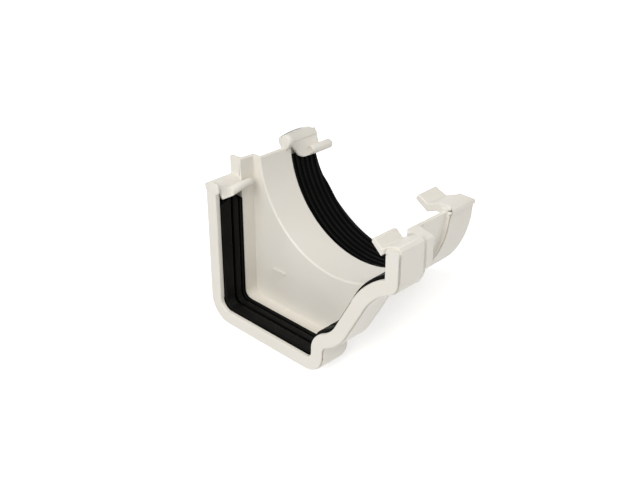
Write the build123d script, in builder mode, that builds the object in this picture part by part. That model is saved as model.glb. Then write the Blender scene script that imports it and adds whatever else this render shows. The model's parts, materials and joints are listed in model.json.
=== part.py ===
# Gutter adaptor: joins a half-round gutter to an ogee gutter.
# X runs across the gutter (house side at -X, street side at +X), Y along it, Z up.
# Every cross-section is drawn about the centre of the half-round arc.
import os
from math import atan2, cos, degrees, radians, sin
from build123d import *

os.makedirs("parts", exist_ok=True)

# walls
wall = 2.0            # channel walls
skin = 2.2            # outer skin of the ogee collar
band = 7.9            # full thickness of the ogee collar at its mouth
edgeStep = 0.45       # how far the collars' near edges sit inside their skins

# half-round side, sized from the gutter that it takes
gutterR = 56.0        # outside radius of a 112 mm half-round gutter
stopStep = 2.2        # the channel carries on inside the gutter's wall
sealGap = 1.2         # room between gutter and collar
collarSkin = 1.5
ribPinch = 0.8        # how far the seal's ribs reach inside the gutter's outside
sealBase = 1.1
archR = gutterR - stopStep
seatR = gutterR + sealGap
collarR = seatR + collarSkin
ribR = gutterR - ribPinch
collarX = -1.2        # the collar sits a little lower and nearer the house than the channel
collarZ = -1.7
rimZ = -4.0           # top edge of the channels

# ogee mouth
backIn = 60.0
floorIn = 88.0
frontIn = 55.8
stepX = 9.5
heel = 6.0
toe = 4.5
slopeFoot = -62.2     # heights of the ogee's straight slope
slopeHead = -43.5
frontFoot = -22.6     # where its bow meets the front wall
neckInset = 1.0       # the channel behind the seat is this much narrower
sealProud = 1.5       # how far the ogee seal's lips stand inside the mouth
sealPad = 3.7         # thickness of the seal under its lips

# stations along the gutter, measured from the half-round seat
ogeeFace = -49.0
mouthEdge = 2.7       # length of the mouth edge, up to the seal
edgeRim = 0.9         # length of its outer rim, up to a groove
edgeRound = 0.7
ogeeSeatFar = -31.6
ogeeStopFar = -29.4
lugFar = -24.7        # the lug that deepens the stop wall at its street corner
bulkNear = -22.8
archNear = -5.2
archSeat = 0.0
archFace = 25.0       # end of the half-round collar, at its lowest point
rodTip = 29.0
ogeeSeatNear = ogeeFace + mouthEdge

# tops of the collars and seals
backTop = -17.0
frontTop = -8.0
lugFoot = -20.8
lugFall = 2.6         # how far the stop wall's top falls towards the street
sealBackTop = -22.5
sealFrontTop = -14.0
archSealBackTop = -11.0
archSealFrontTop = -9.0

# snap clips, hooks and rods
lipShort = 2.4        # the clips' lips stop this much before their backs
clipFar = 11.0
capNear = -3.4        # ends of the half-round hook's cap
capFar = 22.4
tabThick = 1.9
rodR = 2.0
rodLift = 7.0         # slope of the ogee hook's rod, in degrees
grooveWide = 0.7      # groove behind the near edge of each collar
grooveDeep = 0.9
barLong = 9.4         # raised bar on the bulkhead
barWide = 1.3
barProud = 0.6

# position of the arc centre in the part frame
arcX = (backIn - frontIn) / 2
arcZ = floorIn + band
runY = -(ogeeFace + rodTip) / 2
sideReach = 90.0      # wider and taller than any section


def across(y):
    # cross-section plane seen from the ogee end, sketches extrude towards it
    return Plane(origin=(arcX, runY + y, arcZ), x_dir=(1, 0, 0), z_dir=(0, -1, 0))


def tabPlane(x, z, lean):
    # outer face of a hook's tab: local X runs along the gutter, local Y up the tab
    return Plane(origin=(arcX + x, runY, arcZ + z), x_dir=(0, 1, 0),
                 z_dir=(cos(radians(lean)), 0, sin(radians(lean))))


def sidePlane(x):
    # side view: local X runs along the gutter, local Y up
    return Plane(origin=(arcX + x, runY, arcZ), x_dir=(0, 1, 0), z_dir=(1, 0, 0))


def trough(back, floor, step, front):
    # closed outline of an ogee trough, house wall first; its top is open to the sky
    top = 20.0
    with BuildLine() as path:
        Line((-back, top), (-back, -floor + heel))
        CenterArc((-back + heel, -floor + heel), heel, 180, 90)
        Line((-back + heel, -floor), (step - toe, -floor))
        CenterArc((step - toe, -floor + toe), toe, 270, 90)
        Line((step, -floor + toe), (step, -floorIn + 7.5))
        ThreePointArc((step, -floorIn + 7.5), (step + 1.9, -floorIn + 13.4), (step + 6.8, -floorIn + 18.0))
        ThreePointArc((step + 6.8, -floorIn + 18.0), (step + 11.9, -floorIn + 21.4), (step + 15.7, slopeFoot))
        Line((step + 15.7, slopeFoot), (front - 20.4, slopeHead))
        ThreePointArc((front - 20.4, slopeHead), (front - 12.7, frontFoot - 9.3), (front, frontFoot))
        Line((front, frontFoot), (front, top))
        Line((front, top), (-back, top))
    return path.edges()


def narrowed(inset):
    return trough(backIn - inset, floorIn - inset, stepX - inset, frontIn - inset)


with BuildSketch() as mouth:
    make_face(narrowed(0))

with BuildSketch() as outline:
    add(mouth.sketch)
    offset(amount=band, kind=Kind.ARC)

with BuildSketch() as edgeOutline:
    add(mouth.sketch)
    offset(amount=band - edgeStep, kind=Kind.ARC)

with BuildSketch() as grooveFloor:
    add(mouth.sketch)
    offset(amount=band - edgeStep - grooveDeep, kind=Kind.ARC)

with BuildSketch() as seat:
    add(mouth.sketch)
    offset(amount=band - skin, kind=Kind.ARC)

with BuildSketch() as padFace:
    add(mouth.sketch)
    offset(amount=band - skin - sealPad, kind=Kind.ARC)

with BuildSketch() as lipFace:
    make_face(narrowed(sealProud))

with BuildSketch() as neckIn:
    make_face(trough(backIn - neckInset, floorIn + neckInset, stepX - neckInset, archR - 0.3))

with BuildSketch() as neckOut:
    add(neckIn.sketch)
    offset(amount=wall, kind=Kind.ARC)


def clearAbove(z, x0=-sideReach, x1=sideReach):
    # opens the top of a section
    with Locations(((x0 + x1) / 2, z)):
        Rectangle(x1 - x0, 2 * sideReach, align=(Align.CENTER, Align.MIN), mode=Mode.SUBTRACT)


def clearTops(back, front):
    clearAbove(back, -sideReach, 0)
    clearAbove(front, 0, sideReach)


def collarRing(outer, inner):
    with Locations((collarX, collarZ)):
        Circle(outer)
        Circle(inner, mode=Mode.SUBTRACT)


def farEnd(back):
    # plan of what lies past the half-round end, which is cut back towards the street
    end = archFace - back
    with BuildLine() as path:
        Spline((-sideReach, end - 8.0), (-62, end - 4.0), (-45, end - 0.3), (-22, end + 0.9), (0, end),
               (44, end - 7.8), (54, end - 10.8), (sideReach, end - 11.6))
        Polyline((sideReach, end - 11.6), (sideReach, end + 20), (-sideReach, end + 20), (-sideReach, end - 8.0))
    return path.edges()


plan = Plane(origin=(arcX, runY, arcZ))
ogeeRod = Plane(origin=(arcX - backIn + 3.3, runY + ogeeSeatFar - 8.0, arcZ + backTop - 1.4), x_dir=(1, 0, 0),
                z_dir=(0, cos(radians(rodLift)), sin(radians(rodLift))))
pastEnd = archFace + 2.0

# cap of the half-round hook, arched along the gutter
with BuildPart() as archCap:
    with BuildSketch(across(capFar)):
        with Locations((collarX - collarR, rimZ)):
            Polygon((2.9, -0.6), (1.0, -0.6), (-0.3, 1.4), (-0.3, 5.8), (2.7, 5.8), (4.1, 0.8), (2.9, 0.2), align=None)
    extrude(amount=capFar - capNear)
    with BuildSketch(sidePlane(collarX - collarR - 2)):
        with BuildLine():
            ThreePointArc((capNear, rimZ + 3.8), (capFar / 2 - 1.7, rimZ + 5.4), (capFar - 3.8, rimZ + 4.6))
            ThreePointArc((capFar - 3.8, rimZ + 4.6), (capFar - 1, rimZ + 3.0), (capFar, rimZ))
            Polyline((capFar, rimZ), (capFar, rimZ - 1), (capNear, rimZ - 1), (capNear, rimZ + 3.8))
        make_face()
    extrude(amount=10, mode=Mode.INTERSECT)

with BuildPart() as adaptor_body:
    # ogee collar: rim of the mouth edge, groove, skin and stop wall
    with BuildSketch(across(ogeeFace + edgeRim)):
        add(edgeOutline.sketch)
        add(mouth.sketch, mode=Mode.SUBTRACT)
        clearTops(backTop, frontTop)
    extrude(amount=edgeRim)
    fillet(adaptor_body.faces().sort_by(Axis.Y)[0].outer_wire().edges(), edgeRound)
    with BuildSketch(across(ogeeFace + edgeRim + grooveWide)):
        add(grooveFloor.sketch)
        add(mouth.sketch, mode=Mode.SUBTRACT)
        clearTops(backTop, frontTop)
    extrude(amount=grooveWide)
    with BuildSketch(across(ogeeSeatNear)):
        add(outline.sketch)
        add(mouth.sketch, mode=Mode.SUBTRACT)
        clearTops(backTop, frontTop)
    extrude(amount=mouthEdge - edgeRim - grooveWide)
    with BuildSketch(across(ogeeSeatFar)):
        add(outline.sketch)
        add(seat.sketch, mode=Mode.SUBTRACT)
        clearTops(backTop, frontTop)
    extrude(amount=ogeeSeatFar - ogeeSeatNear)
    with BuildSketch(across(ogeeStopFar)):
        add(edgeOutline.sketch)
        add(neckIn.sketch, mode=Mode.SUBTRACT)
        clearAbove(rimZ)
    extrude(amount=ogeeStopFar - ogeeSeatFar)
    # lug at the street corner of the stop wall, its far lower corner cut off
    with BuildSketch(across(lugFar)):
        add(outline.sketch)
        add(neckIn.sketch, mode=Mode.SUBTRACT)
        clearAbove(rimZ)
        clearAbove(-sideReach * 2, -sideReach, 0)
        with Locations((0, lugFoot)):
            Rectangle(2 * sideReach, 2 * sideReach, align=(Align.CENTER, Align.MAX), mode=Mode.SUBTRACT)
    extrude(amount=lugFar - ogeeStopFar)
    with BuildSketch(sidePlane(frontIn)):
        with Locations((lugFar, lugFoot)):
            Polygon((0, 2.2), (-2.9, 0), (0, 0), align=None)
    extrude(amount=2 * band, mode=Mode.SUBTRACT)
    # ogee channel
    with BuildSketch(across(bulkNear + wall)):
        add(neckOut.sketch)
        add(neckIn.sketch, mode=Mode.SUBTRACT)
        clearAbove(rimZ)
    extrude(amount=bulkNear + wall - ogeeStopFar)
    # the stop wall and its lug fall towards the street
    with BuildSketch(across(lugFar)):
        with Locations((archR, rimZ)):
            Polygon((0, 0), (frontIn + band - archR, -lugFall), (frontIn + band - archR, 1), (0, 1), align=None)
    extrude(amount=lugFar - ogeeSeatFar, mode=Mode.SUBTRACT)
    # bulkhead with the half-round cut in it
    with BuildSketch(across(bulkNear + wall)):
        add(neckOut.sketch)
        Circle(archR, mode=Mode.SUBTRACT)
        clearAbove(rimZ)
    extrude(amount=wall)
    # raised bar on the bulkhead
    with BuildSketch(across(bulkNear)):
        with Locations((-backIn + 19.6, -floorIn + 20.7)):
            SlotOverall(barLong, barWide)
    extrude(amount=barProud)
    # half-round channel
    with BuildSketch(across(archSeat)):
        Circle(archR + wall)
        Circle(archR, mode=Mode.SUBTRACT)
        clearAbove(rimZ)
    extrude(amount=archSeat - bulkNear)
    # half-round collar: stop ring, lower under the hook's cap, skin, near edge and groove
    with BuildSketch(across(archSeat)):
        with Locations((collarX, collarZ)):
            Circle(collarR)
        Circle(archR, mode=Mode.SUBTRACT)
        clearAbove(rimZ)
        clearAbove(rimZ - 6, -sideReach, -archR - wall)
    extrude(amount=archSeat - archNear)
    with BuildSketch(across(pastEnd)):
        collarRing(collarR, seatR)
        clearAbove(rimZ)
    extrude(amount=pastEnd - archSeat)
    with BuildSketch(across(archNear + edgeRim + grooveWide)):
        collarRing(collarR + 1, collarR - grooveDeep - edgeStep)
        clearAbove(rimZ)
    extrude(amount=grooveWide, mode=Mode.SUBTRACT)
    with BuildSketch(across(archNear + edgeRim)):
        collarRing(collarR + 1, collarR - edgeStep)
        clearAbove(rimZ)
    extrude(amount=edgeRim, mode=Mode.SUBTRACT)
    # street clip on the half-round collar: its back, then its lip
    with BuildSketch(across(pastEnd)) as backOfClip:
        with Locations((collarX + collarR, rimZ)):
            Polygon((0.9, -1.0), (-8.9, -2.0), (-10.9, -0.4), (-6.5, 3.0), (-0.9, 3.4), (1.0, 1.6), align=None)
        fillet(backOfClip.vertices().sort_by(Axis.X)[-2:], 0.8)
    extrude(amount=pastEnd - archNear)
    with BuildSketch(across(clipFar - lipShort)):
        with Locations((collarX + collarR, rimZ)):
            Polygon((-6.5, -1.0), (-13.6, -4.1), (-21.0, 0.6), (-19.3, 3.4), (-13.5, 0.2), (-6.5, 3.0), align=None)
    extrude(amount=clipFar - lipShort - archNear)
    # the collar's end, and the rounded street corner of its top
    with BuildSketch(plan):
        make_face(farEnd(0))
    extrude(amount=sideReach, both=True, mode=Mode.SUBTRACT)
    with BuildSketch(sidePlane(archR / 2)):
        with BuildLine():
            Line((clipFar - 4, rimZ + 3.6), (clipFar - 2, rimZ + 3.4))
            ThreePointArc((clipFar - 2, rimZ + 3.4), (clipFar + 2.1, rimZ + 0.8), (clipFar + 3.6, rimZ - 6))
            Polyline((clipFar + 3.6, rimZ - 6), (pastEnd, rimZ - 6), (pastEnd, rimZ + 3.6), (clipFar - 4, rimZ + 3.6))
        make_face()
    extrude(amount=sideReach, mode=Mode.SUBTRACT)
    # house hook on the half-round collar: arched cap, tab and rod
    add(archCap.part)
    with BuildSketch(tabPlane(collarX - collarR + 2.3, rimZ + 3.8, 23.7)):
        Polygon((capNear + 2.8, 0), (capFar - 16.2, -11.8), (capFar - 14.2, -13.2), (capFar - 3, -13.8),
                (capFar - 0.8, -10.6), (capFar, -3), (capFar - 0.4, 0), align=None)
    extrude(amount=-tabThick)
    with BuildSketch(across(rodTip)):
        with Locations((collarX - collarR + 7.7, rimZ - 5.8)):
            Circle(rodR)
    extrude(amount=15.5)
    # street clip on the ogee collar: its back, then its lip
    with BuildSketch(across(ogeeSeatFar)):
        with Locations((frontIn, frontTop)):
            Polygon((0, -1.0), (-2.1, -2.4), (-4.0, -0.7), (-2.2, 0.4), (1.6, 2.6), (band - 1.7, 3.8), (band, 1.8),
                    (band, -1.0), align=None)
    extrude(amount=ogeeSeatFar - ogeeFace)
    with BuildSketch(across(ogeeSeatFar - lipShort)):
        with Locations((frontIn, frontTop)):
            Polygon((-2.4, -3.3), (-8.3, 2.0), (-6.6, 4.1), (-2.2, 0.4), (1.6, 2.6), align=None)
    extrude(amount=ogeeSeatFar - lipShort - ogeeFace)
    # house hook on the ogee collar: cap, hanging tab and rod
    with BuildSketch(across(ogeeSeatFar)) as cap:
        with Locations((-backIn, backTop)):
            Polygon((-band, -1.0), (-band, 3.0), (-1.2, 3.8), (0.9, 0.9), (0, -1.0), align=None)
        fillet(cap.vertices().group_by(Axis.Z)[-1], 1.6)
    extrude(amount=ogeeSeatFar - ogeeFace)
    with BuildSketch(tabPlane(-backIn - 0.8, backTop + 3.0, 35)):
        Polygon((ogeeFace + 3.2, 0.6), (ogeeFace + 2.4, -8.2), (ogeeFace + 9.6, -8.3), (ogeeFace + 10.4, -5.8),
                (ogeeSeatFar + 1.2, -5.8), (ogeeSeatFar + 1.2, 0.6), align=None)
    extrude(amount=-tabThick)
    with BuildSketch(ogeeRod):
        Circle(rodR - 0.1)
    extrude(amount=12.6)

with BuildPart() as ogee_seal:
    with BuildSketch(across(ogeeSeatFar)):
        add(seat.sketch)
        add(padFace.sketch, mode=Mode.SUBTRACT)
        clearTops(sealBackTop, sealFrontTop)
    extrude(amount=ogeeSeatFar - ogeeSeatNear)
    # two broad lips and two ridges, the first lip cut lower at the house side
    for lipNear, lipFar, lower in ((0.4, 7.0, 5.5), (8.0, 12.0, 0), (12.8, 13.6, 0), (14.1, 14.6, 0)):
        with BuildSketch(across(ogeeSeatNear + lipFar)):
            add(seat.sketch)
            add(lipFace.sketch, mode=Mode.SUBTRACT)
            clearTops(sealBackTop - lower, sealFrontTop)
        extrude(amount=lipFar - lipNear)

with BuildPart() as half_round_seal:
    with BuildSketch(across(pastEnd)):
        collarRing(seatR, seatR - sealBase)
        clearTops(archSealBackTop, archSealFrontTop)
    extrude(amount=pastEnd - archSeat)
    ribStep = 3.5
    for number in range(int((pastEnd - archSeat) / ribStep)):
        with BuildSketch(across(archSeat + ribStep * number + 2.8)):
            collarRing(seatR, ribR)
            clearTops(archSealBackTop, archSealFrontTop)
        extrude(amount=1.2)
    with BuildSketch(plan):
        make_face(farEnd(0.8))
    extrude(amount=sideReach, both=True, mode=Mode.SUBTRACT)

# unheld, the part tips onto its half-round end and rests on two edges
restRun = archFace - ogeeStopFar
restDrop = (floorIn + band - edgeStep) - (collarR - collarZ)
restTilt = -degrees(atan2(restDrop, restRun))
pieces = {"adaptor_body": adaptor_body.part, "ogee_seal": ogee_seal.part, "half_round_seal": half_round_seal.part}
turned = {name: Rot(restTilt, 0, 0) * piece for name, piece in pieces.items()}
box = turned["adaptor_body"].bounding_box()
toFloor = Pos(-(box.min.X + box.max.X) / 2, -(box.min.Y + box.max.Y) / 2, -box.min.Z)
print("tilt", restTilt, "shift", toFloor.position)
for name, piece in turned.items():
    piece = toFloor * piece
    piece.label = name
    export_step(piece, "parts/" + name + ".step")
    size = piece.bounding_box().size
    print(name, len(piece.solids()), round(piece.volume), size)
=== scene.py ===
import json

import bmesh
import bpy
import numpy as np
from math import cos, pi, radians, sin
from mathutils import Matrix, Vector


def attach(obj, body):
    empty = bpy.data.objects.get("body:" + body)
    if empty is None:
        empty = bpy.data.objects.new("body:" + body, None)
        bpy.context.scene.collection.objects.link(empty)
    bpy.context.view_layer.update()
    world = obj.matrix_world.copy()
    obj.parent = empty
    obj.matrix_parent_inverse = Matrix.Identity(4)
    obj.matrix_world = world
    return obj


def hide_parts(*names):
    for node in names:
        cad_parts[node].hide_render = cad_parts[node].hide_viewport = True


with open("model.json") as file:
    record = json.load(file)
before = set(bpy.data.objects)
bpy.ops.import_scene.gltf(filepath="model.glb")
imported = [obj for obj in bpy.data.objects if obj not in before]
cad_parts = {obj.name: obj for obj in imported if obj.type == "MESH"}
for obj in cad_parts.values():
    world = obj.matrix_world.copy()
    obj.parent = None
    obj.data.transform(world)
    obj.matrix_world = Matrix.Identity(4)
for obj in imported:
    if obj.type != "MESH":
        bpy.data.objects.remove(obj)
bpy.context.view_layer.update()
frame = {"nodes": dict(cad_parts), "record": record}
nodes = frame["nodes"]
mm = 0.001
print("frame loaded", sorted(nodes))

# where the half-round socket's mouth lies in the gutter frame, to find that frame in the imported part
socketMouth = Vector((-1.2, 25.0, -1.7))
mounts = {m["name"]: m for m in frame["record"]["mounts"]}
runAxis = Vector(mounts["half_round_socket"]["axis"]).normalized()
toPart = Matrix((Vector((1, 0, 0)), runAxis, Vector((1, 0, 0)).cross(runAxis))).transposed()
socketPoint = Vector(mounts["half_round_socket"]["pos_m"])
arcCentre = socketPoint - toPart @ (socketMouth * mm)


def fromGutter(x, y, z):
    # a point of the gutter frame, in the part's frame
    return arcCentre + toPart @ (Vector((x, y, z)) * mm)


partAxes = np.array(toPart)


def placed(points):
    # an array of gutter points in millimetres, as points of the part in metres
    return np.array(arcCentre) + points @ partAxes.T * mm


# mesh helpers
weldDistance = 2e-6
slimmestFace = 1e-6


def meshFromGrid(name, grid, ridge, material, edgeAngle):
    # grid[i, j] is row i along a path and column j round a closed profile: quads join neighbouring points
    # and one face fills each end; ridge tells how high each point stands, 0 to 1
    rows, columns = grid.shape[:2]
    i, j = np.meshgrid(np.arange(rows - 1) * columns, np.arange(columns), indexing="ij")
    after = (j + 1) % columns
    quads = np.stack([i + j, i + after, i + columns + after, i + columns + j], axis=-1).reshape(-1, 4)
    firstEnd = list(range(columns))
    lastEnd = [(rows - 1) * columns + n for n in reversed(range(columns))]
    mesh = bpy.data.meshes.new(name)
    mesh.from_pydata(placed(grid.reshape(-1, 3)), [], quads.tolist() + [firstEnd, lastEnd])
    stands = mesh.attributes.new("ridge", "FLOAT", "POINT")
    stands.data.foreach_set("value", np.clip(ridge, 0, 1).ravel())
    work = bmesh.new()
    work.from_mesh(mesh)
    bmesh.ops.remove_doubles(work, verts=work.verts, dist=weldDistance)
    bmesh.ops.dissolve_degenerate(work, dist=slimmestFace, edges=work.edges)
    bmesh.ops.recalc_face_normals(work, faces=work.faces)
    for face in work.faces:
        face.smooth = True
    work.to_mesh(mesh)
    work.free()
    mesh.set_sharp_from_angle(angle=edgeAngle)
    mesh.materials.append(material)
    piece = bpy.data.objects.new(name, mesh)
    bpy.context.scene.collection.objects.link(piece)
    return piece


def lineRun(start, end, count):
    # points on a straight run, start + share * (end - start), each with its outward direction, right of
    # the way
    start, end = np.array(start), np.array(end)
    share = np.linspace(0, 1, count)[:, None]
    way = (end - start) / np.linalg.norm(end - start)
    return np.hstack([start + share * (end - start), np.tile([way[1], -way[0]], (count, 1))])


def arcRun(start, middle, end, count):
    # points on the circle through three points: its centre is where the bisectors of two chords meet
    a, m, b = np.array(start), np.array(middle), np.array(end)
    chords = 2 * np.array([m - a, b - a])
    centre = np.linalg.solve(chords, [m @ m - a @ a, b @ b - a @ a])
    angles = np.unwrap([np.arctan2(*(p - centre)[::-1]) for p in (a, m, b)])
    sweep = np.linspace(angles[0], angles[2], count)
    radial = np.stack([np.cos(sweep), np.sin(sweep)], axis=1)
    radius = np.linalg.norm(a - centre)
    return np.hstack([centre + radius * radial, radial * np.sign(angles[2] - angles[0])])


def cornerRun(corner, radius, count, side):
    # a quarter round at the foot of an upright wall on the given side, -1 house and 1 street: its centre is
    # (-side, 1) * radius from the corner
    x, z = corner
    reach = radius * (1 - sin(pi / 4))
    upright = (x, z + radius)
    level = (x - side * radius, z)
    middle = (x - side * reach, z + reach)
    ends = (upright, level) if side < 0 else (level, upright)
    return arcRun(ends[0], middle, ends[1], count)


# node helpers
colorInputs = (6, 7)  # sockets of a Mix node set to colours
colorOutput = 2
white = (1, 1, 1, 1)


def setInput(node, **values):
    for name, value in values.items():
        node.inputs[name.replace("_", " ")].default_value = value


def newMaterial(name):
    mat = bpy.data.materials.new(name)
    mat.use_nodes = True
    tree = mat.node_tree
    shader = tree.nodes["Principled BSDF"]
    return mat, tree, shader


def addNode(tree, kind, **props):
    node = tree.nodes.new(kind)
    for name, value in props.items():
        setattr(node, name, value)
    return node


# surface groups
grainSettings = {
    "fine": {"Detail": 3.0, "Roughness": 0.6},
    "slow": {"Detail": 2.0, "Roughness": 0.5},
    "middle": 0.5,
}


def makeGrainGroup(s):
    # fine moulding grain as a height, and a slow tone drift as a value round 0
    group = bpy.data.node_groups.new("mouldGrain", "ShaderNodeTree")
    face = group.interface
    face.new_socket("Grain Scale", in_out="INPUT", socket_type="NodeSocketFloat")
    face.new_socket("Drift Scale", in_out="INPUT", socket_type="NodeSocketFloat")
    face.new_socket("Height", in_out="OUTPUT", socket_type="NodeSocketFloat")
    face.new_socket("Drift", in_out="OUTPUT", socket_type="NodeSocketFloat")
    start = addNode(group, "NodeGroupInput")
    end = addNode(group, "NodeGroupOutput")
    coords = addNode(group, "ShaderNodeTexCoord")
    fine = addNode(group, "ShaderNodeTexNoise")
    setInput(fine, **s["fine"])
    slow = addNode(group, "ShaderNodeTexNoise")
    setInput(slow, **s["slow"])
    centred = addNode(group, "ShaderNodeMath", operation="SUBTRACT")
    centred.inputs[1].default_value = s["middle"]
    for noise, scale in ((fine, "Grain Scale"), (slow, "Drift Scale")):
        group.links.new(coords.outputs["Object"], noise.inputs["Vector"])
        group.links.new(start.outputs[scale], noise.inputs["Scale"])
    group.links.new(slow.outputs["Fac"], centred.inputs[0])
    group.links.new(fine.outputs["Fac"], end.inputs["Height"])
    group.links.new(centred.outputs[0], end.inputs["Drift"])
    return group


grainGroup = makeGrainGroup(grainSettings)


def mixColors(tree, factor, first, second):
    # the first where the factor is 0, the second where it is 1, each a colour or another node's output
    mix = addNode(tree, "ShaderNodeMix", data_type="RGBA")
    tree.links.new(factor, mix.inputs["Factor"])
    for number, color in zip(colorInputs, (first, second)):
        if isinstance(color, tuple):
            mix.inputs[number].default_value = (*color, 1)
        else:
            tree.links.new(color, mix.inputs[number])
    return mix.outputs[colorOutput]


def bumpFrom(tree, height, strength, distance):
    bump = addNode(tree, "ShaderNodeBump")
    setInput(bump, Strength=strength, Distance=distance)
    tree.links.new(height, bump.inputs["Height"])
    return bump.outputs["Normal"]


def rangeOf(tree, value, low, high, toLow, toHigh):
    # low to high becomes toLow to toHigh
    node = addNode(tree, "ShaderNodeMapRange")
    for name, number in zip(("From Min", "From Max", "To Min", "To Max"), (low, high, toLow, toHigh)):
        node.inputs[name].default_value = number
    tree.links.new(value, node.inputs["Value"])
    return node.outputs["Result"]


def addGrain(tree, shader, s):
    # roughness and bump from the fine grain; gives back the base colour, which drifts from dark to light
    grain = addNode(tree, "ShaderNodeGroup", node_tree=grainGroup)
    setInput(grain, Grain_Scale=s["grainScale"], Drift_Scale=s["driftScale"])
    height = grain.outputs["Height"]
    tree.links.new(rangeOf(tree, height, *s["grainRange"], *s["rough"]), shader.inputs["Roughness"])
    tree.links.new(bumpFrom(tree, height, *s["bump"]), shader.inputs["Normal"])
    drift = rangeOf(tree, grain.outputs["Drift"], *s["driftRange"], 0.0, 1.0)
    return mixColors(tree, drift, s["dark"], s["light"])


# body plastic
plasticSettings = {
    "light": (0.85, 0.815, 0.742),
    "dark": (0.825, 0.785, 0.705),
    "rough": (0.36, 0.46),
    "grainScale": 1800.0,
    "grainRange": (0.3, 0.7),
    "driftScale": 35.0,
    "driftRange": (-0.2, 0.2),
    "bump": (0.06, 0.0002),  # strength and distance
}


def makePlastic(s):
    mat, tree, shader = newMaterial("bodyPlastic")
    tree.links.new(addGrain(tree, shader, s), shader.inputs["Base Color"])
    return mat


# seal rubber
rubberSettings = {
    # painted shade: the colour put in the grooves, darker than the rubber itself
    "groove": (0.0012, 0.0012, 0.001),
    "dark": (0.005, 0.005, 0.0045),
    "light": (0.009, 0.0088, 0.008),
    "specular": 0.06,
    "rough": (0.42, 0.58),
    "grainScale": 1200.0,
    "grainRange": (0.3, 0.7),
    "driftScale": 60.0,
    "driftRange": (-0.2, 0.2),
    "bump": (0.15, 0.0002),
}


def makeRubber(s):
    # painted shade: darker in the grooves between the lips and ribs, by the pieces' own ridge attribute
    mat, tree, shader = newMaterial("sealRubber")
    ridge = addNode(tree, "ShaderNodeAttribute", attribute_name="ridge")
    color = mixColors(tree, ridge.outputs["Fac"], s["groove"], addGrain(tree, shader, s))
    tree.links.new(color, shader.inputs["Base Color"])
    shader.inputs["Specular IOR Level"].default_value = s["specular"]
    return mat


bodyPlastic = makePlastic(plasticSettings)
sealRubber = makeRubber(rubberSettings)
print("materials made")

# moulding with its edges eased
bodySettings = {
    "merge": 1e-6,
    "flatAngle": radians(0.4),  # flatter joins are dissolved
    "edgeAngle": radians(38),  # sharper joins are rounded
    "widest": 0.9 * mm,
    "segments": 3,
    "usual": 0.6,  # share of the widest round that an edge gets at most
    "arcEdge": 1.0,  # the same for the channel's ends
    "share": 0.33,  # share of the room beside an edge that its round may take
    "leastRoom": 0.75 * mm,
    "soundings": (0.04, 0.27, 0.5, 0.73, 0.96),  # where along an edge the room is measured
    "flatJoin": radians(0.5),  # flatter joins don't bound a face
    "runsOn": 0.93,  # cosine past which the next edge only carries this one on
    "level": 1e-9,  # an edge whose ends differ less than this along another runs straight across from it
    "contact": 1e-7,  # nearer than this, the other edge touches
    "sideReach": 65.3 * mm,  # edges further out stay sharp, so that the part keeps its width
    "arcNear": (-24.0, -20.0),  # the channel's ends along the run, and its edges' radii
    "arcFar": (-1.5, 1.5),
    "arcRadii": (51.0, 57.0),
    "leftSharp": ((-67.9, -49.0, -15.0, 4.0), (63.7, -49.0, -9.0, 2.5)),  # corners (x, y, z, reach)
    "faceWeight": 100,
}

# street rim block: its rounded top across the gutter, and the cuts over it and in the groove behind it
rimSettings = {
    "top": (
        (55.6, -14.0), (55.7, -10.8), (56.0, -7.4), (58.0, -5.9),
        (61.8, -5.9), (63.4, -7.0), (63.7, -10.6), (63.7, -14.5),
    ),
    "middle": (59.8, -14.0),
    "left": 55.2,
    "right": 68.0,
    "above": 4.0,
    "edgeAngle": radians(30),
    "cuts": {
        "rimAbove": {"near": -49.6, "far": -48.1, "inset": 0.0},
        "rimGroove": {"near": -48.3, "far": -47.4, "inset": 0.7},
    },
}


def roundedOutline(points, rounds):
    # each round cuts the corners: every side (p, q) becomes the points p + (q - p) / 4 and q - (q - p) / 4
    ring = np.array(points)
    for _ in range(rounds):
        after = np.roll(ring, -1, axis=0)
        quarter = (after - ring) / 4
        ring = np.stack([ring + quarter, after - quarter], axis=1).reshape(-1, 2)
    return ring


def makeCutter(name, s, near, far, inset):
    # a slab whose lower side is the block's top, moved in by the inset towards the block's middle
    top = np.array(s["top"])
    way = np.array(s["middle"]) - top
    top = top + way / np.linalg.norm(way, axis=1, keepdims=True) * inset
    left, right, above = s["left"], s["right"], s["above"]
    outline = np.vstack([(left, top[0, 1]), top, (right, top[-1, 1]), (right, above), (left, above)])
    x, z = np.broadcast_to(outline[None], (2, *outline.shape)).transpose(2, 0, 1)
    y = np.broadcast_to(np.array([[near], [far]]), x.shape)
    return meshFromGrid(name, np.stack([x, y, z], axis=-1), np.zeros(x.shape), bodyPlastic, s["edgeAngle"])


def roomBeside(edge, s):
    # the narrowest way across the two faces at an edge, measured from several points of it, in metres
    start, end = (v.co for v in edge.verts)
    way = (end - start).normalized()
    room = 1.0
    for face in edge.link_faces:
        inward = face.normal.cross(way)
        if inward.dot(face.calc_center_median() - start) < 0:
            inward.negate()
        for share in s["soundings"]:
            at = start.lerp(end, share)
            for other in face.edges:
                if other is edge or other.calc_face_angle(1) < s["flatJoin"]:
                    continue
                a, b = (v.co - at for v in other.verts)
                along = (a.dot(way), b.dot(way))
                if along[0] * along[1] > 0 or abs(along[0] - along[1]) < s["level"]:
                    continue
                t = along[0] / (along[0] - along[1])
                depth = a.dot(inward) + t * (b.dot(inward) - a.dot(inward))
                if depth > s["contact"]:
                    room = min(room, depth)
        for corner, away in ((edge.verts[0], way), (edge.verts[1], -way)):
            for other in corner.link_edges:
                if other is edge or face not in other.link_faces or other.calc_face_angle(1) < s["flatJoin"]:
                    continue
                leg = other.other_vert(corner).co - corner.co
                if abs(leg.normalized().dot(away)) < s["runsOn"]:
                    room = min(room, leg.cross(away).length)
    return room


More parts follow.
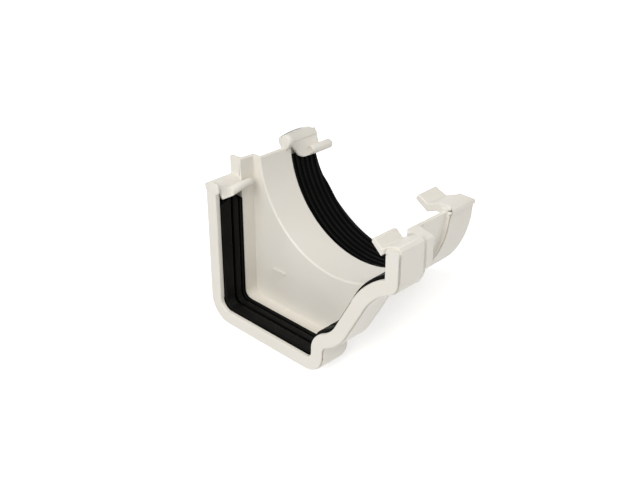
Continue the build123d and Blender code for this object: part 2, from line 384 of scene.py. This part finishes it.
def weighEdges(work, s):
    # gives each sharp edge its bevel weight: how far it may be rounded, as a share of the widest round
    layer = work.edges.layers.float.new("bevel_weight_edge")
    toGutter = toPart.transposed()
    least, most = s["arcRadii"]
    for edge in work.edges:
        outmost = max(abs(v.co.x) for v in edge.verts)
        if len(edge.link_faces) != 2 or edge.calc_face_angle(0) < s["edgeAngle"] or outmost > s["sideReach"]:
            continue
        a, b = (toGutter @ (v.co - arcCentre) / mm for v in edge.verts)
        if any((p - Vector(spot)).length < reach for p in (a, b) for *spot, reach in s["leftSharp"]):
            continue
        onArc = all(least < (p.xz - socketMouth.xz).length < most for p in (a, b))
        onRim = any(all(low < p.y < high for p in (a, b)) for low, high in (s["arcNear"], s["arcFar"]))
        wish = s["arcEdge"] if onArc and onRim else s["usual"]
        room = roomBeside(edge, s)
        if room > s["leastRoom"]:
            edge[layer] = min(wish, s["share"] * room / s["widest"])


def cutAway(whole, s):
    # the moulding less the cutters, as a mesh of its own
    holder = bpy.data.objects.new("uncut", whole)
    bpy.context.scene.collection.objects.link(holder)
    cutters = [makeCutter(title, s, **cut) for title, cut in s["cuts"].items()]
    for cutter in cutters:
        taken = holder.modifiers.new(cutter.name, "BOOLEAN")
        taken.operation = "DIFFERENCE"
        taken.solver = "EXACT"
        taken.object = cutter
    graph = bpy.context.evaluated_depsgraph_get()
    mesh = bpy.data.meshes.new_from_object(holder.evaluated_get(graph))
    for done in (holder, *cutters):
        bpy.data.objects.remove(done)
    return mesh


def easedCopy(node, name, material, s):
    # the node's loose triangles merged into faces, cut at the street rim, and with a round on each sharp edge
    # that is as wide as the faces beside it allow
    whole = nodes[node].data.copy()
    work = bmesh.new()
    work.from_mesh(whole)
    bmesh.ops.remove_doubles(work, verts=work.verts, dist=s["merge"])
    work.to_mesh(whole)
    work.free()
    mesh = cutAway(whole, rimSettings)
    mesh.name = name
    work = bmesh.new()
    work.from_mesh(mesh)
    bmesh.ops.remove_doubles(work, verts=work.verts, dist=s["merge"])
    bmesh.ops.dissolve_limit(work, angle_limit=s["flatAngle"], verts=work.verts, edges=work.edges)
    work.normal_update()
    weighEdges(work, s)
    bmesh.ops.connect_verts_concave(work, faces=work.faces)
    for face in work.faces:
        face.smooth = True
    work.to_mesh(mesh)
    work.free()
    mesh.set_sharp_from_angle(angle=s["edgeAngle"])
    mesh.materials.clear()
    mesh.materials.append(material)
    piece = bpy.data.objects.new(name, mesh)
    bpy.context.scene.collection.objects.link(piece)
    bevel = piece.modifiers.new("eased", "BEVEL")
    bevel.width = s["widest"]
    bevel.segments = s["segments"]
    bevel.limit_method = "WEIGHT"
    bevel.use_clamp_overlap = False
    level = piece.modifiers.new("level", "WEIGHTED_NORMAL")
    level.mode = "FACE_AREA"
    level.weight = s["faceWeight"]
    level.keep_sharp = True
    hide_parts(node)
    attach(piece, "root")
    return piece


body = easedCopy("adaptor_body", "moulded_body", bodyPlastic, bodySettings)
print("body", len(body.data.vertices), "vertices")

# small moulded blocks: each has an outline across the gutter as (x, z), and rows of (run, scale, lift)
blockSettings = {
    "ogee_rim_bead": {
        "outline": (
            (-66.9, -19.0), (-66.9, -14.6), (-64.4, -12.6), (-59.2, -12.4), (-57.4, -14.2), (-57.3, -19.0),
        ),
        "rows": (
            (-49.0, 0.93, 0), (-48.9, 0.97, 0), (-48.7, 1.0, 0),
            (-48.1, 1.0, 0), (-47.9, 0.97, 0), (-47.8, 0.9, 0),
        ),
    },
    "ogee_hook_bar": {
        "outline": ((-60.0, -16.0), (-60.0, -22.4), (-53.6, -22.4), (-53.6, -16.0)),
        "rows": (
            (-40.9, 0.66, 0.6), (-40.7, 0.7, 0.6), (-34.8, 0.66, 1.7), (-27.6, 0.61, 2.4), (-27.1, 0.5, 2.4),
        ),
    },
    "ogee_lip_roll": {
        "outline": ((47.6, -6.6), (47.6, -4.1), (50.4, -4.1), (50.4, -6.6)),
        "rows": (
            (-48.9, 0.8, 0), (-48.7, 0.94, 0), (-48.3, 1.0, 0),
            (-34.9, 1.0, 0), (-34.5, 0.94, 0), (-34.3, 0.8, 0),
        ),
    },
    "arch_hook_knob": {
        "outline": (
            (-57.3, -5.6), (-57.3, 1.0), (-54.4, 3.8), (-51.0, 3.2),
            (-49.2, 0.6), (-50.6, -2.6), (-53.4, -5.6),
        ),
        "rows": (
            (-4.9, 0.86, 0), (-4.8, 0.92, 0), (-4.4, 1.0, 0),
            (-2.0, 1.0, 0), (-1.5, 0.93, 0), (-1.3, 0.8, 0),
        ),
    },
    "arch_hook_bar": {
        "outline": ((-54.7, -7.3), (-54.7, -12.3), (-49.7, -12.3), (-49.7, -7.3)),
        "rows": (
            (14.2, 0.8, 0), (14.6, 0.94, 0), (15.2, 1.0, 0),
            (27.8, 1.0, 0), (28.3, 0.93, 0), (28.5, 0.8, 0),
        ),
    },
}
blockRounds = 3
blockEdgeAngle = radians(50)


def makeBlock(name, s, material):
    # point = (middle + scale * (outline - middle) + lift, run), with the scale and the lift given row by row
    ring = roundedOutline(s["outline"], blockRounds)
    middle = ring.mean(axis=0)
    run, scale, lift = np.array(s["rows"], float).T[:, :, None]
    x = middle[0] + scale * (ring[None, :, 0] - middle[0])
    z = middle[1] + scale * (ring[None, :, 1] - middle[1]) + lift
    grid = np.stack([x, np.broadcast_to(run, x.shape), z], axis=-1)
    piece = meshFromGrid(name, grid, np.zeros(x.shape), material, blockEdgeAngle)
    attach(piece, "root")
    return piece


for name, settings in blockSettings.items():
    makeBlock(name, settings, bodyPlastic)
print("blocks", len(blockSettings))

# ogee seal, carried along the outline of the mouth: house wall, floor, step, slope, bow, street wall
ogeeSealSettings = {
    "near": -46.3,
    "length": 14.7,
    "seatOff": 5.7,  # from the mouth's outline out to the seat
    "pad": 3.7,
    "height": 7.2,
    "lips": (  # (near, far, rounding)
        (0.4, 6.6, 0.8), (8.1, 11.6, 0.6), (12.7, 13.6, 0.35), (14.1, 14.6, 0.2),
    ),
    "lipPoints": 7,
    "backTop": -22.5,
    "frontTop": -14.0,
    "cutZone": 10,  # length of close rows under the house end
    "cutRun": (0, 2.6, 2.75, 8.2, 10.0, 14.7),
    "cutDrop": (3.1, 2.1, 0, 0, 1.7, 3.2),
    "back": -60.0,
    "floor": -88.0,
    "step": 9.5,
    "street": 55.8,
    "heel": 6.0,
    "toe": 4.5,
    "curl": ((0, 7.5), (1.9, 13.4), (6.8, 18.0)),  # three points of each arc: these two from the step's foot
    "rise": ((6.8, 18.0), (11.9, 21.4), (15.7, 25.8)),
    "bow": ((-20.4, -43.5), (-12.7, -31.9), (0, -22.6)),  # from the street wall, at these heights
    "points": {
        "end": 41, "wall": 8, "heel": 16, "floor": 10, "toe": 14, "step": 3,
        "curl": 12, "rise": 8, "slope": 6, "bow": 16, "street": 4,
    },
    "edgeAngle": radians(50),
}


def ogeeWay(s):
    # the mouth's outline from the house top to the street top, as points and outward directions
    back, floor, step, street = s["back"], s["floor"], s["step"], s["street"]
    heel, toe, count = s["heel"], s["toe"], s["points"]
    curl = [(step + x, floor + z) for x, z in s["curl"]]
    rise = [(step + x, floor + z) for x, z in s["rise"]]
    bow = [(street + x, z) for x, z in s["bow"]]
    cutFoot = (back, s["backTop"] - s["cutZone"])
    return np.vstack([
        lineRun((back, s["backTop"]), cutFoot, count["end"])[:-1],
        lineRun(cutFoot, (back, floor + heel), count["wall"])[:-1],
        cornerRun((back, floor), heel, count["heel"], -1)[:-1],
        lineRun((back + heel, floor), (step - toe, floor), count["floor"])[:-1],
        cornerRun((step, floor), toe, count["toe"], 1)[:-1],
        lineRun((step, floor + toe), curl[0], count["step"])[:-1],
        arcRun(*curl, count["curl"])[:-1],
        arcRun(*rise, count["rise"])[:-1],
        lineRun(rise[-1], bow[0], count["slope"])[:-1],
        arcRun(*bow, count["bow"])[:-1],
        lineRun(bow[-1], (street, s["frontTop"]), count["street"]),
    ])


def lipProfile(s):
    # the seal along the run, as distance from its near side and height over its seat: a pad, and on it lips
    # whose corners are quarter rounds, rounding * (1 - cos, 1 - sin) in from the lip's own corner
    quarter = np.linspace(0, pi / 2, s["lipPoints"])
    parts = [[(0, 0), (0, s["pad"])]]
    for near, far, rounding in s["lips"]:
        inward = rounding * (1 - np.cos(quarter))
        top = s["height"] - rounding * (1 - np.sin(quarter))
        rise = np.stack([near + inward, top], axis=1)
        fall = np.stack([far - inward, top], axis=1)
        parts += [[(near, s["pad"])], rise, fall[::-1], [(far, s["pad"])]]
    parts.append([(s["length"], s["pad"]), (s["length"], 0)])
    return np.vstack(parts)


def makeOgeeSeal(s, material):
    # point = outline + outward * (seat distance - height); the house end is cut back by a drop that changes
    # across the seal, so the rows above the cut gather on it
    way, profile = ogeeWay(s), lipProfile(s)
    run, height = profile[None, :, 0], profile[None, :, 1]
    off = s["seatOff"] - height
    x = way[:, 0:1] + way[:, 2:3] * off
    z = way[:, 1:2] + way[:, 3:4] * off
    cut = s["backTop"] - np.interp(run, s["cutRun"], s["cutDrop"])
    onHouseWall = np.isclose(way[:, 0:1], s["back"])
    z = np.where(onHouseWall, np.minimum(z, cut), z)
    y = np.broadcast_to(s["near"] + run, x.shape)
    ridge = np.broadcast_to((height - s["pad"]) / (s["height"] - s["pad"]), x.shape)
    piece = meshFromGrid("ogee_lip_seal", np.stack([x, y, z], axis=-1), ridge, material, s["edgeAngle"])
    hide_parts("ogee_seal")
    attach(piece, "root")
    return piece


ogeeSeal = makeOgeeSeal(ogeeSealSettings, sealRubber)
print("ogee seal", len(ogeeSeal.data.polygons), "faces")

# half-round seal, ribs round the arc, its far end cut back towards the street
archSealSettings = {
    "centreX": -1.2,
    "centreZ": -1.7,
    "seatR": 57.2,
    "base": 1.1,
    "ribHeight": 0.9,
    "ribWide": 1.3,
    "ribStep": 3.5,
    "firstRib": 2.2,
    "backTop": -11.0,
    "frontTop": -9.0,
    "longest": 27.0,
    "endAcross": (-90, -62, -45, -22, 0, 44, 54, 90),  # the far end's plan: how far along the run at each x
    "endRun": (16.2, 20.2, 23.9, 25.1, 24.2, 16.4, 13.4, 12.6),
    "rows": 96,
    "columns": 271,
    "edgeAngle": radians(50),
}


def smoothThrough(at, knots, values):
    # cubic curve through the knots, with the slopes of the chords between each knot's neighbours
    knots, values = np.array(knots, float), np.array(values, float)
    slopes = np.gradient(values, knots)
    k = np.clip(np.searchsorted(knots, at) - 1, 0, len(knots) - 2)
    span = knots[k + 1] - knots[k]
    t = (at - knots[k]) / span
    return ((2 * t**3 - 3 * t**2 + 1) * values[k] + (t**3 - 2 * t**2 + t) * span * slopes[k]
            + (3 * t**2 - 2 * t**3) * values[k + 1] + (t**3 - t**2) * span * slopes[k + 1])


def makeArchSeal(s, material):
    # radius = seat - height, with half-round ribs: height = base + rib * sqrt(1 - (2 d / width)^2), where d
    # is the distance from the rib's middle; the first quarter step has no rib, and columns past the far end
    # gather on it
    run = np.linspace(0, s["longest"], s["columns"])
    share = np.linspace(0, 1, s["rows"])[:, None]

    def ribbed(y):
        fromRib = (y - s["firstRib"] + s["ribStep"] / 2) % s["ribStep"] - s["ribStep"] / 2
        dome = np.sqrt(np.clip(1 - (2 * fromRib / s["ribWide"])**2, 0, 1))
        return s["base"] + s["ribHeight"] * dome * (y > s["ribStep"] / 4)

    def angleAt(radius):
        first = np.arcsin((s["centreZ"] - s["backTop"]) / radius)
        last = pi - np.arcsin((s["centreZ"] - s["frontTop"]) / radius)
        return first + share * (last - first)

    middle = s["centreX"] - s["seatR"] * np.cos(angleAt(s["seatR"]))
    end = smoothThrough(middle, s["endAcross"], s["endRun"])
    y = np.minimum(run[None, :], end)
    height = ribbed(y)
    y = np.hstack([np.zeros_like(end), y, end])
    height = np.hstack([np.zeros_like(end), height, np.zeros_like(end)])
    radius = s["seatR"] - height
    angle = angleAt(radius)
    x = s["centreX"] - radius * np.cos(angle)
    z = s["centreZ"] - radius * np.sin(angle)
    ridge = (height - s["base"]) / s["ribHeight"]
    piece = meshFromGrid("arch_rib_seal", np.stack([x, y, z], axis=-1), ridge, material, s["edgeAngle"])
    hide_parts("half_round_seal")
    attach(piece, "root")
    return piece


archSeal = makeArchSeal(archSealSettings, sealRubber)
print("half-round seal", len(archSeal.data.polygons), "faces")

# floor
floorSettings = {"half": 3.0, "color": (0.8, 0.8, 0.8), "roughness": 0.9, "glow": 0.55}


def makeFloor(s):
    # white to the camera and in reflections, with the part's soft shadow left on it
    mesh = bpy.data.meshes.new("floor")
    h = s["half"]
    mesh.from_pydata([(-h, -h, 0), (h, -h, 0), (h, h, 0), (-h, h, 0)], [], [(0, 1, 2, 3)])
    floor = bpy.data.objects.new("floor", mesh)
    bpy.context.scene.collection.objects.link(floor)
    mat, tree, shader = newMaterial("paleFloor")
    setInput(shader, Base_Color=(*s["color"], 1), Roughness=s["roughness"])
    path = addNode(tree, "ShaderNodeLightPath")
    seen = addNode(tree, "ShaderNodeMath", operation="ADD")
    seen.use_clamp = True
    tree.links.new(path.outputs["Is Camera Ray"], seen.inputs[0])
    tree.links.new(path.outputs["Is Glossy Ray"], seen.inputs[1])
    through = addNode(tree, "ShaderNodeMath", operation="ADD")
    through.use_clamp = True
    tree.links.new(seen.outputs[0], through.inputs[0])
    tree.links.new(path.outputs["Is Transmission Ray"], through.inputs[1])
    glow = addNode(tree, "ShaderNodeMath", operation="MULTIPLY")
    glow.inputs[1].default_value = s["glow"]
    tree.links.new(through.outputs[0], glow.inputs[0])
    shader.inputs["Emission Color"].default_value = white
    tree.links.new(glow.outputs[0], shader.inputs["Emission Strength"])
    mesh.materials.append(mat)
    return floor


makeFloor(floorSettings)

# lights, placed in the gutter frame round the part
lightSettings = {
    "world": 0.4,
    "aim": (0, -10, -45),
    "key": {"at": (60, -900, 620), "size": 800, "power": 7.5},
    "fill": {"at": (600, -100, 900), "size": 900, "power": 2.9},
}


def makeWorld(strength):
    # white where it is seen directly or through glass, and it lights the part at the given strength
    world = bpy.data.worlds.new("studio")
    bpy.context.scene.world = world
    world.use_nodes = True
    tree = world.node_tree
    back = tree.nodes["Background"]
    path = addNode(tree, "ShaderNodeLightPath")
    seen = addNode(tree, "ShaderNodeMath", operation="MAXIMUM")
    tree.links.new(path.outputs["Is Camera Ray"], seen.inputs[0])
    tree.links.new(path.outputs["Is Transmission Ray"], seen.inputs[1])
    level = rangeOf(tree, seen.outputs[0], 0.0, 1.0, strength, 1.0)
    back.inputs["Color"].default_value = white
    tree.links.new(level, back.inputs["Strength"])


def makeLight(name, s, target):
    data = bpy.data.lights.new(name, "AREA")
    data.energy = s["power"]
    data.size = s["size"] * mm
    lamp = bpy.data.objects.new(name, data)
    bpy.context.scene.collection.objects.link(lamp)
    lamp.location = fromGutter(*s["at"])
    lamp.rotation_euler = (target - lamp.location).to_track_quat("-Z", "Y").to_euler()


makeWorld(lightSettings["world"])
for name in ("key", "fill"):
    makeLight(name, lightSettings[name], fromGutter(*lightSettings["aim"]))
print("floor and lights made")

# camera, from the photograph's perspective
cameraSettings = {
    "at": (291.232, -332.524, 191.397),
    "yaw": 0.780188,
    "pitch": 0.486503,
    "focalPixels": 953.986,
    "imageWidth": 624,
    "sensor": 36.0,
    "clipStart": 0.01,
}


def makeCamera(s):
    data = bpy.data.cameras.new("camera")
    data.sensor_width = s["sensor"]
    data.lens = s["focalPixels"] / s["imageWidth"] * s["sensor"]
    data.clip_start = s["clipStart"]
    camera = bpy.data.objects.new("camera", data)
    bpy.context.scene.collection.objects.link(camera)
    yaw, pitch = s["yaw"], s["pitch"]
    ahead = Vector((-sin(yaw) * cos(pitch), cos(yaw) * cos(pitch), -sin(pitch)))
    right = Vector((cos(yaw), sin(yaw), 0))
    axes = Matrix((right, right.cross(ahead), -ahead)).transposed()
    camera.matrix_world = Matrix.Translation(fromGutter(*s["at"])) @ (toPart @ axes).to_4x4()
    bpy.context.scene.camera = camera


makeCamera(cameraSettings)
bpy.context.scene.view_settings.view_transform = "Standard"
print("camera placed")
